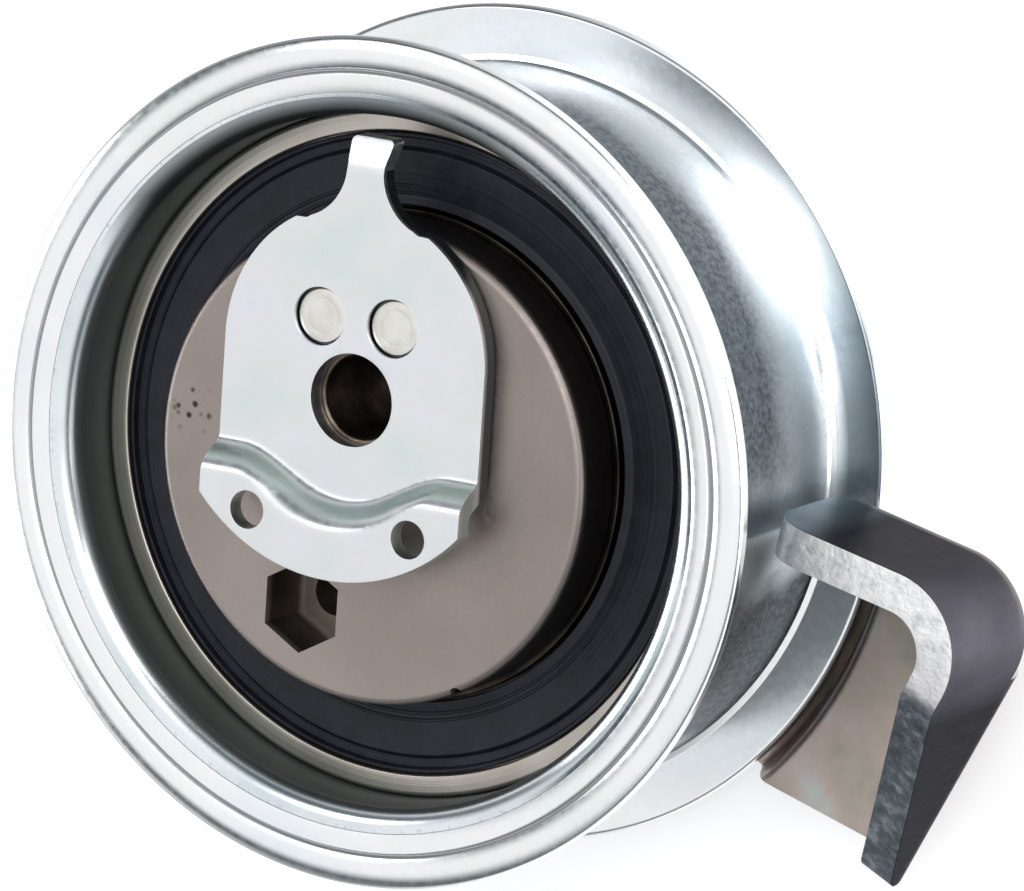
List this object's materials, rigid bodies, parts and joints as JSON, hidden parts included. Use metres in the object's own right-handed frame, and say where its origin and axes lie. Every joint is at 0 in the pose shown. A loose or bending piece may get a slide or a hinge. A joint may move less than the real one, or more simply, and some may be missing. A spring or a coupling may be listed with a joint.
{
  "type": "timing belt tensioner pulley",
  "caption": "Flanged steel tensioner pulley on a ball bearing, with a sprung eccentric, a pointer plate and a hooked base plate.",
  "frame": {"origin": "where the pulley's axis meets the mounting plane, the back face of the adjusting eccentric and base plate", "axes": "+Z along the pulley's axis towards the pointer plate, +Y through the pointer, +X towards the side that the hook is on"},
  "size_m": [0.1018, 0.084, 0.04],
  "materials": {
    "zinc_drum": "bright zinc plating, slightly mottled",
    "zinc_flange": "bright zinc plating, satin",
    "zinc_plate": "pale zinc plating with a faint iridescence",
    "oiled_steel": "dark oiled steel, light sheared edges",
    "eccentric_steel": "warm grey, satin, with a bright rounded edge",
    "sintered_steel": "satin grey",
    "ground_steel": "ground, slightly beige",
    "ball_steel": "polished",
    "spring_steel": "oil tempered",
    "bush_bronze": "satin",
    "seal_rubber": "semi-gloss dark blue-black",
    "washer_polymer": "matt"
  },
  "bodies": {
    "base": {"base_plate": "oiled_steel", "torsion_spring": "spring_steel", "rear_thrust_washer": "washer_polymer"},
    "adjuster": {"adjusting_eccentric": "sintered_steel", "pointer_plate": "zinc_plate", "rivet_left": "zinc_plate", "rivet_right": "zinc_plate"},
    "working": {"working_eccentric": "eccentric_steel", "plain_bush": "bush_bronze", "bearing_inner_ring": "ground_steel", "front_slide_washer": "washer_polymer"},
    "pulley": {"pulley_drum": "zinc_drum", "front_flange": "zinc_flange", "rear_flange": "zinc_flange", "bearing_outer_ring": "ground_steel", "front_seal": "seal_rubber", "rear_seal": "seal_rubber"},
    "balls": {"ball_cage": "washer_polymer", "ball_01": "ball_steel", "ball_02": "ball_steel", "ball_03": "ball_steel", "ball_04": "ball_steel", "ball_05": "ball_steel", "ball_06": "ball_steel", "ball_07": "ball_steel", "ball_08": "ball_steel", "ball_09": "ball_steel", "ball_10": "ball_steel", "ball_11": "ball_steel", "ball_12": "ball_steel"}
  },
  "joints": [
    {"name": "adjuster_turn", "type": "hinge", "parent": "base", "child": "adjuster", "pos_m": [-0.0011, 0.0065, 0], "axis": [0, 0, 1], "range_deg": [-90, 0], "deforming": ["torsion_spring"]},
    {"name": "eccentric_swing", "type": "hinge", "parent": "adjuster", "child": "working", "pos_m": [-0.0011, 0.0095, 0], "axis": [0, 0, 1], "range_deg": [-35, 0], "stiffness_Nm_per_rad": 2, "springref_deg": 51.57, "deforming": ["torsion_spring"]},
    {"name": "pulley_spin", "type": "hinge", "parent": "working", "child": "pulley", "pos_m": [0, 0, 0], "axis": [0, 0, 1], "continuous": true},
    {"name": "cage_spin", "type": "hinge", "parent": "working", "child": "balls", "pos_m": [0, 0, 0], "axis": [0, 0, 1], "continuous": true}
  ],
  "couplings": [
    {"joint": "cage_spin", "follows": "pulley_spin", "ratio": 0.5567}
  ]
}
